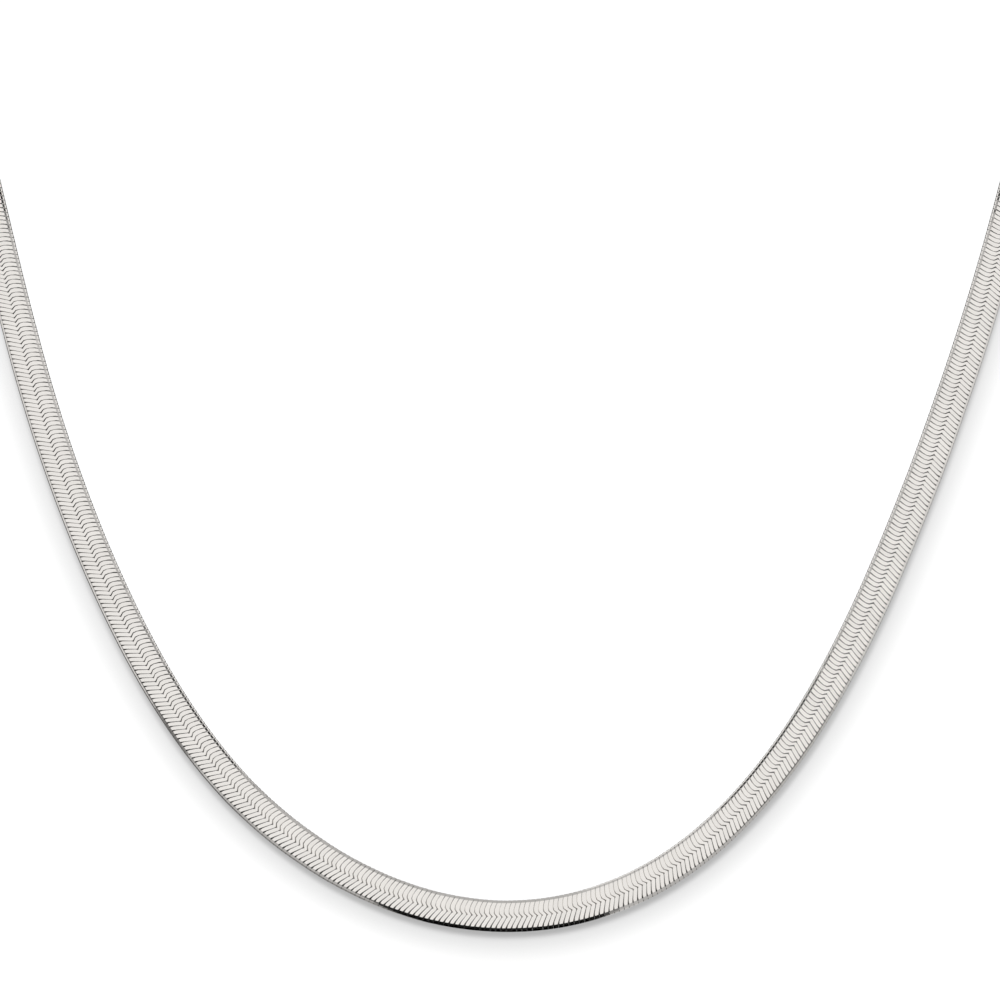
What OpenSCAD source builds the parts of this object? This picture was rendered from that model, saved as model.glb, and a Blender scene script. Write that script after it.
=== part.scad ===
// Herringbone chain necklace: a flat band of nested links on a whole loop, with
// two soldered end caps and a hook clasp at the nape. It keeps its worn form:
// the front hangs in a leaning U, and the rest goes round behind the neck.
// The origin is the nape, on the side of the clasp that rests on the neck.
// +Z is up, the front faces -Y, and sizes are in millimetres and degrees.

/* [Chain] */
// Length of the whole loop, through the chain, its caps and its clasp
loop_length = 508; // [440:1:600]
// Width of the flat band
chain_w = 4.3; // [3.5:0.1:5.5]
// Thickness of the band
chain_t = 1.1; // [0.8:0.05:1.4]
// Width of the rounded edge on each side of the flat face
edge_w = 0.45; // [0.3:0.05:0.6]
// Lean of the hanging front, back from upright
front_lean = 44; // [30:1:60]

/* [End caps] */
// Length of a cap, from its tip to the mouth of its pocket
cap_length = 4.2; // [3.6:0.1:6]
// Wall of a cap around the band
cap_wall = 0.3; // [0.2:0.05:0.5]
// Depth of the pocket that takes the end of the band
pocket_depth = 1.6; // [1:0.1:2]
// Gap between the band and its pocket
pocket_gap = 0.08; // [0.05:0.01:0.15]
// Radius of the long corners of a cap
cap_round = 0.5; // [0.2:0.05:0.6]
// Length of the shoulders that narrow a cap towards its tip
cap_shoulder = 1.6; // [1:0.1:2]

/* [Cap rings] */
// Wire of the ring soldered to a cap
ring_wire = 0.8; // [0.6:0.05:1]
// Inner diameter of that ring
ring_bore = 2.5; // [2.4:0.05:3]

/* [Clasp] */
// Length of the clasp, from its nose to the end of its eye
clasp_length = 12; // [11:0.1:15]
// Width of the hook
clasp_w = 5.6; // [5.2:0.1:7]
// Wire of the nose, the spine and the back of the hook
hook_wire = 1.5; // [1.2:0.05:1.6]
// Wire of the gate that closes the hook
gate_wire = 1.1; // [0.8:0.05:1.3]
// Diameter of the thumb tab on the gate
tab_d = 1.8; // [1.4:0.1:2.2]
// Thickness of the thumb tab
tab_t = 0.7; // [0.5:0.05:1]
// Outer diameter of the eye at the end of the clasp
eye_d = 3.6; // [3.4:0.1:4.2]
// Wire of the eye
eye_wire = 0.9; // [0.7:0.05:1]
// Play between a cap's ring and the wire that it hangs on
link_play = 0.15; // [0.1:0.05:0.2]

/* [Hidden] */
$fn = 48;
silver = "#dcd9d3";
bright_silver = "#e6e4e0";

// Places along the clasp and its caps, out from the nape
ring_x = (clasp_length - hook_wire - eye_wire) / 2 - link_play + ring_bore / 2;
cap_tip = ring_x + (ring_bore + ring_wire) / 2;
cap_mouth = cap_tip + cap_length;
band_end = cap_mouth - pocket_depth + pocket_gap;
clasp_shift = (hook_wire - eye_wire) / 2;
nose_x = clasp_shift + clasp_length / 2;
tail_x = clasp_shift - clasp_length / 2;

// Cap's size over the band
cap_w = chain_w + 2 * (pocket_gap + cap_wall);
cap_t = chain_t + 2 * (pocket_gap + cap_wall);

// Half of the straight run at the nape, past the mouths of the caps
straight = cap_mouth + 1.25;

// Route of the loop, from the middle of the front to the nape. It is a smooth
// curve guided by these points, which the left half mirrors. The turn is how far
// the face has turned from the front slope towards the outside. The sway moves a
// point and its mirrored one sideways together, as a real chain hangs a bit uneven.
// Columns: across, up the front slope, behind the front slope, turn, sway
ROUTE = [
    [0, -58.5, 0, 0, 1.8],
    [22, -52, 0, 0, 0.3],
    [40, -32.5, 0, 0, -0.4],
    [53, -3.5, 0, 0, -0.4],
    [62, 23, 0, 0, 0.6],
    [68, 48, 0, 0, 1.6],
    [74, 72.5, 7, 12, 1.6],
    [66, 94, 15, 40, 0.5],
    [48, 109, 22, 68, 0],
    [2 * straight, 114, 25, 90, 0],
    [straight, 114, 25, 90, 0],
    [0, 114, 25, 90, 0]
];
last_row = len(ROUTE) - 1;
spans = 2 * last_row;
steps_per_span = 16;
ring_count = 80;

// The guide points round the whole loop, from the nape over the left half and
// back to the nape, with one more past each end
function right_row(row) = [row[0] + row[4], row[1], row[2], row[3]];
function left_row(row) = [row[4] - row[0], row[1], row[2], row[3]];
GUIDE = concat(
    [right_row(ROUTE[last_row - 1])],
    [for (i = [last_row : -1 : 1]) left_row(ROUTE[i])],
    [for (i = [0 : last_row]) right_row(ROUTE[i])],
    [left_row(ROUTE[last_row - 1])]
);

function weights(t) = [
    (1 - t) ^ 3,
    3 * t ^ 3 - 6 * t ^ 2 + 4,
    3 * t - 3 * t ^ 3 + 3 * t ^ 2 + 1,
    t ^ 3
] / 6;

function slope_weights(t) = [
    -(1 - t) ^ 2,
    3 * t ^ 2 - 4 * t,
    1 + 2 * t - 3 * t ^ 2,
    t ^ 2
] / 2;

function span_of(u) = min(floor(u), spans - 1);
function mix(w, i) = w[0] * GUIDE[i] + w[1] * GUIDE[i + 1] + w[2] * GUIDE[i + 2] + w[3] * GUIDE[i + 3];
function guided(u) = mix(weights(u - span_of(u)), span_of(u));
function heading(u) = mix(slope_weights(u - span_of(u)), span_of(u));

// From the directions of the leaning front to across, back and up
function upright(row) = [
    row[0],
    row[1] * sin(front_lean) + row[2] * cos(front_lean),
    row[1] * cos(front_lean) - row[2] * sin(front_lean)
];
function unit(v) = v / norm(v);
front_face = [0, -cos(front_lean), sin(front_lean)];
nape_face = [0, sin(front_lean), cos(front_lean)];

// Length along the route, which scales the route to the loop's real length
DOTS = [for (i = [0 : spans * steps_per_span]) upright(guided(i / steps_per_span))];
STEP_LENGTHS = [for (i = [1 : len(DOTS) - 1]) norm(DOTS[i] - DOTS[i - 1])];
LENGTHS = [
    for (i = 0, sum = 0; i < len(DOTS); sum = sum + (i < len(STEP_LENGTHS) ? STEP_LENGTHS[i] : 0), i = i + 1) sum
];
route_length = LENGTHS[len(LENGTHS) - 1];
route_scale = loop_length / route_length;
BY_LENGTH = [
    for (i = [0 : len(DOTS) - 1]) [LENGTHS[i] * route_scale - loop_length / 2, i / steps_per_span]
];
nape_point = DOTS[0] * route_scale - nape_face * hook_wire / 2;

// Where the band is at a length s from the front's middle, and to the left below
// zero: its centre, the direction of its outer edge and the direction of its face
function station(s) =
    let (
        u = lookup(s, BY_LENGTH),
        row = guided(u),
        along = unit(upright(heading(u))),
        flat = unit(front_face - (front_face * along) * along),
        face = flat * cos(row[3]) + cross(along, flat) * sin(row[3])
    )
    [upright(row) * route_scale - nape_point, cross(along, face), face];

// Half of the band's section, from the middle of one edge over the face
face_half = chain_w / 2 - edge_w;
QUARTER = [
    [chain_w / 2, chain_t * 0.1],
    [chain_w / 2 - edge_w * 0.3, chain_t * 0.36],
    [face_half, chain_t / 2]
];
function reversed(list) = [for (i = [len(list) - 1 : -1 : 0]) list[i]];
function flip_x(list) = [for (p = list) [-p[0], p[1]]];
function flip_y(list) = [for (p = list) [p[0], -p[1]]];
UPPER = concat(QUARTER, reversed(flip_x(QUARTER)));
SECTION = concat(UPPER, reversed(flip_y(UPPER)));
sides = len(SECTION);

module herringbone_chain() {
    reach = loop_length / 2 - band_end;
    points = [
        for (r = [0 : ring_count - 1])
        let (place = station(reach * (2 * r / (ring_count - 1) - 1)))
        for (p = SECTION) place[0] + place[1] * p[0] + place[2] * p[1]
    ];
    walls = [
        for (r = [0 : ring_count - 2], k = [0 : sides - 1], half = [0, 1])
        let (
            a = r * sides + k,
            b = r * sides + (k + 1) % sides
        )
        half == 0 ? [a, a + sides, b] : [b, a + sides, b + sides]
    ];
    first_end = [for (k = [0 : sides - 1]) k];
    last_end = [for (k = [sides - 1 : -1 : 0]) (ring_count - 1) * sides + k];
    color(silver)
        polyhedron(points = points, faces = concat([first_end], walls, [last_end]));
}

// Puts a shape drawn along X, with its face up, at the nape
module at_nape() {
    rotate([-front_lean, 0, 0])
        translate([0, 0, hook_wire / 2])
            children();
}

module cap_section() {
    square([cap_w - 2 * cap_round, cap_t], center = true);
    square([cap_w, cap_t - 2 * cap_round], center = true);
    for (x = [-1, 1], y = [-1, 1])
        translate([x * (cap_w / 2 - cap_round), y * (cap_t / 2 - cap_round)])
            circle(r = cap_round);
}

module cap_plan() {
    tip_half = ring_wire;
    polygon([
        [cap_tip, -tip_half],
        [cap_tip + cap_shoulder, -cap_w / 2],
        [cap_mouth, -cap_w / 2],
        [cap_mouth, cap_w / 2],
        [cap_tip + cap_shoulder, cap_w / 2],
        [cap_tip, tip_half]
    ]);
}

module along_x(from, length) {
    translate([from, 0, 0])
        rotate([90, 0, 90])
            linear_extrude(height = length)
                children();
}

module wire_ring(bore, wire) {
    rotate_extrude()
        translate([(bore + wire) / 2, 0])
            circle(d = wire);
}

module end_cap() {
    difference() {
        intersection() {
            along_x(cap_tip, cap_length)
                cap_section();
            linear_extrude(height = 2 * cap_t, center = true)
                cap_plan();
        }
        along_x(cap_mouth - pocket_depth, 2 * pocket_depth)
            square([chain_w + 2 * pocket_gap, chain_t + 2 * pocket_gap], center = true);
    }
    translate([ring_x, 0, 0])
        rotate([90, 0, 0])
            wire_ring(ring_bore, ring_wire);
}

module end_cap_right() {
    color(bright_silver)
        at_nape()
            end_cap();
}

module end_cap_left() {
    color(bright_silver)
        at_nape()
            mirror([1, 0, 0])
                end_cap();
}

module hook_end(x, turn) {
    translate([x, 0, 0])
        rotate([0, 0, turn])
            rotate_extrude(angle = 180)
                translate([(clasp_w - hook_wire) / 2, 0])
                    circle(d = hook_wire);
}

module clasp() {
    side_y = (clasp_w - hook_wire) / 2;
    back_x = tail_x + eye_d - eye_wire + clasp_w / 2;
    front_x = nose_x - clasp_w / 2;
    color(bright_silver)
        at_nape() {
            hook_end(front_x, -90);
            hook_end(back_x, 90);
            translate([back_x, side_y, 0])
                rotate([0, 90, 0])
                    cylinder(d = hook_wire, h = front_x - back_x);
            translate([back_x, -side_y, 0])
                rotate([0, 90, 0])
                    cylinder(d = gate_wire, h = front_x - back_x);
            translate([back_x + tab_d / 2, -side_y - gate_wire / 2, 0])
                cylinder(d = tab_d, h = tab_t, center = true);
            translate([tail_x + eye_d / 2, 0, 0])
                wire_ring(eye_d - 2 * eye_wire, eye_wire);
        }
}

herringbone_chain();
end_cap_left();
end_cap_right();
clasp();
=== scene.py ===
"""Herringbone chain necklace: nested silver links along the worn loop, two end caps
and a hook clasp at the nape, on a plain pale stage. Lengths are in metres, and in mm in
the tables and named numbers, except where a comment says otherwise."""

import bisect
import math

import bmesh
import bpy
from bpy.props import FloatProperty, FloatVectorProperty, IntProperty, PointerProperty
from mathutils import Matrix, Vector


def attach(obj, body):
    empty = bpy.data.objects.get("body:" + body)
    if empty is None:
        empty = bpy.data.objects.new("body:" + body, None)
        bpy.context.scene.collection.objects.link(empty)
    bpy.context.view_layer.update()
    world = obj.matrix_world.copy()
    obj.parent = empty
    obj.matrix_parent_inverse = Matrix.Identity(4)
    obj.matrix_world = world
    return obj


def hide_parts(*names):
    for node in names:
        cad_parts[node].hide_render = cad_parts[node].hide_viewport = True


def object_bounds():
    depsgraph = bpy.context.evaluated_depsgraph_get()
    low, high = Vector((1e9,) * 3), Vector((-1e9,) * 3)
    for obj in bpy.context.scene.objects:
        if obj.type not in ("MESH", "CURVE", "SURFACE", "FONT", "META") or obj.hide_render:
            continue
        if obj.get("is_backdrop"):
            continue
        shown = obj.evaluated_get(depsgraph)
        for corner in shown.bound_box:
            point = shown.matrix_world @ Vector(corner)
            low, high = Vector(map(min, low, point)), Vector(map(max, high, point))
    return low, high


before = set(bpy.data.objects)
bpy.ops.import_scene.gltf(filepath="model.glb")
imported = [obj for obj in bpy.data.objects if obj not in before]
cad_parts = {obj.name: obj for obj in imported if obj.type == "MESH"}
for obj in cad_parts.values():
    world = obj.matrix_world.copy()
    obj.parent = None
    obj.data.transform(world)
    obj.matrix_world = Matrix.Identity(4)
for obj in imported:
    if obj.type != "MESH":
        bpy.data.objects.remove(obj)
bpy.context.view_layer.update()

bl_info = {
    "name": "Herringbone Chain Necklace",
    "version": (1, 0, 0),
    "blender": (4, 5, 0),
    "location": "3D View > Sidebar > Necklace",
    "description": "Builds a herringbone chain, its end caps, its clasp and a plain stage",
    "category": "Add Mesh",
}

MM = 0.001


# Settings


def length_property(name, description, millimetres, low=0.0, high=1000.0):
    """A length with its default given in millimetres."""
    return FloatProperty(
        name=name,
        description=description,
        default=millimetres * MM,
        min=low * MM,
        max=high * MM,
        precision=5,
        subtype="DISTANCE",
        unit="LENGTH",
    )


def angle_property(name, description, degrees, low=-90.0, high=90.0):
    """An angle with its default given in degrees."""
    return FloatProperty(
        name=name,
        description=description,
        default=math.radians(degrees),
        min=math.radians(low),
        max=math.radians(high),
        subtype="ANGLE",
    )


def colour_property(name, description, colour):
    """A colour in linear red, green and blue."""
    return FloatVectorProperty(
        name=name,
        description=description,
        default=colour,
        size=3,
        min=0.0,
        max=1.0,
        subtype="COLOR",
    )


class ChainSettings(bpy.types.PropertyGroup):
    """Sizes of the flat chain and its links."""

    loop_length: length_property("Loop Length", "Length of the whole closed loop", 508)
    width: length_property("Width", "Width of the flat chain", 4.3)
    thickness: length_property("Thickness", "Thickness of the flat chain", 1.1)
    end_at: length_property("End Distance", "From the nape to the end of the chain", 10.23)
    link_count: IntProperty(
        name="Links", description="Number of links", default=778, min=300, max=1000
    )
    link_gap: length_property("Link Gap", "Gap between two links", 0.045)
    chamfer: length_property("Chamfer", "Chamfer along each link's face", 0.045)
    spacing_play: length_property("Spacing Play", "How far a link sits off its even place", 0.009)
    tilt_play: angle_property("Tilt Play", "How far a link tilts out of the face", 0.5, 0, 5)
    seed: IntProperty(
        name="Seed", description="Seed of the links' small differences", default=7, min=0
    )


class FindingsSettings(bpy.types.PropertyGroup):
    """Sizes of the end caps and the clasp."""

    ring_wire: length_property("Ring Wire", "Wire of the ring soldered to a cap", 0.8)
    ring_bore: length_property("Ring Bore", "Inner diameter of that ring", 2.5)
    cap_length: length_property("Cap Length", "From a cap's tip to its mouth", 4.2)
    cap_wall: length_property("Cap Wall", "Wall of a cap round the chain", 0.3)
    pocket: length_property("Pocket", "Depth of the pocket for the chain's end", 1.6)
    pocket_gap: length_property("Pocket Gap", "Gap between the chain and its pocket", 0.08)
    clasp_length: length_property("Clasp Length", "From the clasp's nose to the end of its eye", 12)
    clasp_width: length_property("Clasp Width", "Width of the hook", 5.6)
    hook_wire: length_property("Hook Wire", "Wire of the hook", 1.5)
    gate_wire: length_property("Gate Wire", "Wire of the gate that closes the hook", 1.1)
    tab: length_property("Thumb Tab", "Diameter of the thumb tab on the gate", 1.8)
    eye: length_property("Eye", "Outer diameter of the clasp's eye", 3.6)
    eye_wire: length_property("Eye Wire", "Wire of the eye", 0.9)


class SilverSettings(bpy.types.PropertyGroup):
    """Colour and polish of the silver."""

    colour: colour_property("Silver", "Colour of the polished silver", (0.887, 0.857, 0.822))
    # Painted shade: the dark colour laid into the grooves between links in place of their shade
    groove_shade_colour: colour_property("Groove", "Colour deep between the links", (0.09, 0.087, 0.084))
    roughness: FloatProperty(
        name="Roughness",
        description="Roughness of the polished faces",
        default=0.09,
        min=0.02,
        max=0.6,
        subtype="FACTOR",
    )


class StageSettings(bpy.types.PropertyGroup):
    """Camera, floor and light."""

    camera_distance: length_property(
        "Camera Distance", "From the camera to the chain", 1050, 100, 5000
    )
    camera_aim: FloatVectorProperty(
        name="Camera Aim",
        description="Point that the camera looks at",
        default=(0.35 * MM, -96.67 * MM, -64.11 * MM),
        size=3,
        subtype="TRANSLATION",
        unit="LENGTH",
    )
    camera_elevation: angle_property("Camera Elevation", "How far the camera looks down", 22)
    camera_roll: angle_property("Camera Roll", "Turn of the camera about its own view", -0.97)
    lens: FloatProperty(
        name="Lens",
        description="Focal length of the camera",
        default=295.3,
        min=10,
        max=1000,
        subtype="DISTANCE_CAMERA",
    )
    floor_drop: length_property("Floor Drop", "From the chain's lowest point to the floor", 8)
    sky: FloatProperty(
        name="Sky", description="Brightness of the soft light all round", default=0.92, min=0.0
    )
    floor_light: FloatProperty(
        name="Floor Light", description="Strength of the floor's lamp", default=14.0, min=0.0
    )


# Route of the chain

# Guide points from the middle of the front to the nape, with the left half mirrored
# but for the sway: across, up the front slope, behind it, turn of the face, sway.
# The loop is then scaled to its real length.
FRONT_LEAN = math.radians(44)
NAPE_STRAIGHT = 13
ROUTE = (
    (0, -58.5, 0, 0, 1.8),
    (22, -52, 0, 0, 0.3),
    (40, -32.5, 0, 0, -0.4),
    (53, -3.5, 0, 0, -0.4),
    (62, 23, 0, 0, 0.6),
    (68, 48, 0, 0, 1.6),
    (74, 72.5, 7, 12, 1.6),
    (66, 94, 15, 40, 0.5),
    (48, 109, 22, 68, 0),
    (2 * NAPE_STRAIGHT, 114, 25, 90, 0),
    (NAPE_STRAIGHT, 114, 25, 90, 0),
    (0, 114, 25, 90, 0),
)
STEPS_PER_SPAN = 32


def upright(row):
    """From the directions of the leaning front to across, back and up."""
    sin, cos = math.sin(FRONT_LEAN), math.cos(FRONT_LEAN)
    return Vector((row[0], row[1] * sin + row[2] * cos, row[1] * cos - row[2] * sin))


def place_weights(t):
    """Shares of four guide points in a point of a uniform cubic B-spline."""
    return (
        (1 - t) ** 3 / 6,
        (3 * t**3 - 6 * t**2 + 4) / 6,
        (1 + 3 * t + 3 * t**2 - 3 * t**3) / 6,
        t**3 / 6,
    )


def heading_weights(t):
    """How fast those shares change, which gives the direction of travel."""
    return (
        -((1 - t) ** 2) / 2,
        (3 * t**2 - 4 * t) / 2,
        (1 + 2 * t - 3 * t**2) / 2,
        t**2 / 2,
    )


class LoopRoute:
    """The smooth loop, found by the length from the middle of the front."""

    def __init__(self, loop_length, hook_wire):
        right = [(x + sway, *rest) for x, *rest, sway in ROUTE]
        left = [(sway - x, *rest) for x, *rest, sway in ROUTE]
        self.guide = [right[-2], *left[:0:-1], *right, left[-2]]
        self.spans = len(self.guide) - 3
        dots = []
        for i in range(self.spans * STEPS_PER_SPAN + 1):
            dots.append(upright(self.blend(i / STEPS_PER_SPAN, place_weights)))
        reached = [0.0]
        for a, b in zip(dots, dots[1:]):
            reached.append(reached[-1] + (b - a).length)
        self.scale = loop_length / reached[-1]
        self.lengths = [length * self.scale - loop_length / 2 for length in reached]
        nape_face = Vector((0, math.sin(FRONT_LEAN), math.cos(FRONT_LEAN)))
        self.nape = dots[0] * self.scale - nape_face * hook_wire / 2

    def blend(self, u, weights):
        """The guide's four columns at a place u, counted in spans from the nape."""
        span = min(int(u), self.spans - 1)
        rows = self.guide[span : span + 4]
        shares = weights(u - span)
        return [sum(share * row[i] for share, row in zip(shares, rows)) for i in range(4)]

    def station(self, s):
        """Centre, direction of the outer edge and direction of the face at a length s."""
        after = min(max(bisect.bisect(self.lengths, s), 1), len(self.lengths) - 1)
        low, high = self.lengths[after - 1], self.lengths[after]
        u = (after - 1 + (s - low) / (high - low)) / STEPS_PER_SPAN
        row = self.blend(u, place_weights)
        along = upright(self.blend(u, heading_weights)).normalized()
        front = Vector((0, -math.cos(FRONT_LEAN), math.sin(FRONT_LEAN)))
        flat = (front - front.dot(along) * along).normalized()
        turn = math.radians(row[3])
        face = flat * math.cos(turn) + along.cross(flat) * math.sin(turn)
        return upright(row) * self.scale - self.nape, along.cross(face), face


def worn_route(scene):
    """The loop as it hangs, for the sizes that are set."""
    return LoopRoute(scene.necklace_chain.loop_length, scene.necklace_findings.hook_wire)


# Helpers

AXIS_X = Vector((1, 0, 0))
AXIS_Y = Vector((0, 1, 0))
AXIS_Z = Vector((0, 0, 1))


def new_object(name, data):
    """A new object in the scene's own collection."""
    obj = bpy.data.objects.new(name, data)
    bpy.context.scene.collection.objects.link(obj)
    return obj


def mesh_from(name, points, faces):
    """A mesh of points and of faces that name them."""
    mesh = bpy.data.meshes.new(name)
    mesh.from_pydata([tuple(p) for p in points], [], faces)
    mesh.update()
    return mesh


def plain_mesh(obj, name):
    """The evaluated object as a plain mesh; the object itself goes."""
    mesh = bpy.data.meshes.new_from_object(obj.evaluated_get(bpy.context.evaluated_depsgraph_get()))
    mesh.name = name
    bpy.data.objects.remove(obj)
    return mesh


def mark_corners(mesh, name, values):
    """Store one vector per face on all its corners."""
    marked = mesh.attributes.new(name, "FLOAT_VECTOR", "CORNER")
    for polygon, value in zip(mesh.polygons, values):
        for corner in polygon.loop_indices:
            marked.data[corner].vector = value


def mark_points(mesh, name, values):
    """Store one vector per point."""
    marked = mesh.attributes.new(name, "FLOAT_VECTOR", "POINT")
    for datum, value in zip(marked.data, values):
        datum.vector = value


def between(rows, at):
    """The values of a table at a place, in straight steps between its rows."""
    if at <= rows[0][0]:
        return rows[0][1:]
    for a, b in zip(rows, rows[1:]):
        if at <= b[0]:
            t = (at - a[0]) / (b[0] - a[0])
            return tuple(v + (w - v) * t for v, w in zip(a[1:], b[1:]))
    return rows[-1][1:]


def tube_faces(rings, sides):
    """Faces of a tube through rings of points, with both ends closed."""
    faces = []
    for r in range(rings - 1):
        for k in range(sides):
            a, b = r * sides + k, r * sides + (k + 1) % sides
            faces.append((a, b, b + sides, a + sides))
    last = (rings - 1) * sides
    faces += [tuple(range(sides))[::-1], tuple(last + k for k in range(sides))]
    return faces


def circle(centre, first, second, radius, sides):
    """Points round a centre, in the plane of two directions."""
    points = []
    for k in range(sides):
        a = math.tau * k / sides
        points.append(centre + (first * math.cos(a) + second * math.sin(a)) * radius)
    return points


def shade_smooth(mesh, is_smooth):
    """Turn the faces outwards and shade them smooth, except at edges that is_smooth refuses."""
    made = bmesh.new()
    made.from_mesh(mesh)
    bmesh.ops.recalc_face_normals(made, faces=made.faces)
    for face in made.faces:
        face.smooth = True
    for edge in made.edges:
        edge.smooth = is_smooth(edge)
    made.to_mesh(mesh)
    made.free()


# Silver

# Noise of the polish, and the least and most that it changes the roughness
POLISH_SCALE = 900
POLISH_DETAIL = 4
POLISH_ROUGHNESS = (0.75, 1.3)
# Least and most tone of a link
LINK_TONES = (0.97, 1.02)


def toned_and_shaded_colour(tree, settings):
    """Each link in its own tone, with painted shade laid in where the mesh marks a groove."""
    nodes, links = tree.nodes, tree.links
    tone = nodes.new("ShaderNodeAttribute")
    tone.attribute_name = "tone"
    shade = nodes.new("ShaderNodeMapRange")
    shade.inputs["To Min"].default_value = LINK_TONES[0]
    shade.inputs["To Max"].default_value = LINK_TONES[1]
    links.new(tone.outputs["Fac"], shade.inputs["Value"])
    toned = nodes.new("ShaderNodeVectorMath")
    toned.operation = "SCALE"
    toned.inputs[0].default_value = settings.colour
    links.new(shade.outputs["Result"], toned.inputs["Scale"])
    # Painted shade: the groove marks times the shade depth along the chain give how far the colour goes
    # to the dark shade colour
    dark = nodes.new("ShaderNodeVectorMath")
    dark.operation = "DOT_PRODUCT"
    for socket, attribute in zip(dark.inputs, ("groove", "shade_depth")):
        marked = nodes.new("ShaderNodeAttribute")
        marked.attribute_name = attribute
        links.new(marked.outputs["Vector"], socket)
    mixed = nodes.new("ShaderNodeMix")
    mixed.data_type = "RGBA"
    mixed.inputs["B"].default_value = (*settings.groove_shade_colour, 1)
    links.new(dark.outputs["Value"], mixed.inputs["Factor"])
    links.new(toned.outputs["Vector"], mixed.inputs["A"])
    return mixed.outputs["Result"]


def silver_material(name, settings, with_groove_shade):
    """Polished silver with faint polishing marks, and for the chain with painted shade in its grooves.
    """
    material = bpy.data.materials.new(name)
    material.use_nodes = True
    tree = material.node_tree
    nodes, links = tree.nodes, tree.links
    shader = nodes["Principled BSDF"]
    shader.inputs["Metallic"].default_value = 1.0
    shader.inputs["Base Color"].default_value = (*settings.colour, 1)

    place = nodes.new("ShaderNodeTexCoord")
    marks = nodes.new("ShaderNodeTexNoise")
    marks.inputs["Scale"].default_value = POLISH_SCALE
    marks.inputs["Detail"].default_value = POLISH_DETAIL
    links.new(place.outputs["Object"], marks.inputs["Vector"])

    rough = nodes.new("ShaderNodeMapRange")
    rough.inputs["To Min"].default_value = settings.roughness * POLISH_ROUGHNESS[0]
    rough.inputs["To Max"].default_value = settings.roughness * POLISH_ROUGHNESS[1]
    links.new(marks.outputs["Fac"], rough.inputs["Value"])
    links.new(rough.outputs["Result"], shader.inputs["Roughness"])

    # The chain's grooves get painted shade
    if with_groove_shade:
        links.new(toned_and_shaded_colour(tree, settings), shader.inputs["Base Color"])
    return material


# Links

# One link from its inner to its outer end, drawn in mm for a chain of this width and
# thickness: place across the chain, how far the link reaches forward there, top, bottom,
# share of its length and share of the groove beside it
DRAWN_WIDTH = 4.3
DRAWN_THICKNESS = 1.1
LINK_ROWS = (
    (-2.12, 0.42, 0.10, -0.12, 0.62, 0.80),
    (-2.00, 0.395, 0.35, -0.38, 1.00, 0.80),
    (-1.86, 0.365, 0.448, -0.50, 1.00, 0.80),
    (-1.60, 0.305, 0.55, -0.55, 1.00, 1.45),
    (-1.15, 0.13, 0.55, -0.55, 1.00, 0.95),
    (-0.62, 0.00, 0.55, -0.55, 1.00, 0.60),
    (-0.14, 0.03, 0.55, -0.55, 1.00, 1.00),
    (0.28, 0.40, 0.55, -0.55, 1.00, 1.60),
    (0.48, 0.27, 0.55, -0.55, 1.00, 0.50),
    (1.45, -0.24, 0.55, -0.55, 1.00, 0.85),
    (1.80, -0.36, 0.55, -0.50, 1.00, 1.65),
    (1.92, -0.37, 0.495, -0.42, 1.045, 0.20),
    (2.04, -0.38, 0.40, -0.28, 1.045, 0.20),
    (2.12, -0.39, 0.17, -0.02, 1.02, 0.60),
)
# Rows at the link's two creases and at the two ends of its kink
CREASES = (3, 10)
KINK = (6, 7)
# How much of the painted groove shade the six sides of a link's section take: face, front chamfer,
# front, back face, rear and rear chamfer
SECTION_SIDES = 6
SECTION_SHADE_SHARES = (0.0, 0.30, 1.0, 0.0, 1.0, 0.30)
INNER_RIM_SHADE_SHARES = (0.0, 0.5, 1.0, 0.0, 1.0, 0.5)
OUTER_RIM_SHADE_SHARES = (0.0, 0.9, 1.0, 0.0, 1.0, 0.9)
CREASE_SHADE_SHARES = (0.0,) * SECTION_SIDES
# How far a chamfer drops for its width: steep on the face, slight on the rounded inner rim
FACE_DROP = 1.2
RIM_DROP = 0.16
# How strong the painted shade in the grooves is along the chain: distance from the middle of the front
# in mm, then shares for the inner half, the kink and the outer half
GROOVE_SHADE_DEPTH = (
    (-95, 1.8, 3.0, 1.4),
    (-65, 2.6, 2.0, 2.4),
    (-40, 1.4, 0.45, 2.8),
    (-20, 0.5, 0.3, 3.3),
    (0, 0.1, 0.33, 1.1),
    (20, 0.1, 0.8, 1.1),
    (40, 0.55, 2.3, 0.4),
    (65, 1.6, 4.0, 0.9),
    (95, 1.2, 4.5, 1.6),
)
# How a worn chain lies a little off its even line: distance from the middle of the front
# in mm, sideways shift in mm and share of the width
LINE_PLAY = (
    (-140, 0.0, 1.0),
    (-110, -0.06, 1.035),
    (-95, 0.0, 1.035),
    (-80, 0.04, 1.03),
    (-50, 0.02, 1.035),
    (-40, 0.0, 1.03),
    (-35, -0.08, 1.025),
    (-28, -0.18, 1.025),
    (-20, -0.12, 1.01),
    (-15, 0.0, 1.01),
    (-10, 0.10, 1.0),
    (-2, 0.14, 0.975),
    (5, 0.07, 0.99),
    (12, 0.0, 1.0),
    (25, 0.03, 1.01),
    (40, 0.05, 1.01),
    (50, 0.09, 1.01),
    (65, 0.19, 1.025),
    (85, 0.17, 1.03),
    (95, 0.05, 1.025),
    (110, 0.0, 1.02),
    (140, 0.0, 1.0),
)


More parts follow.
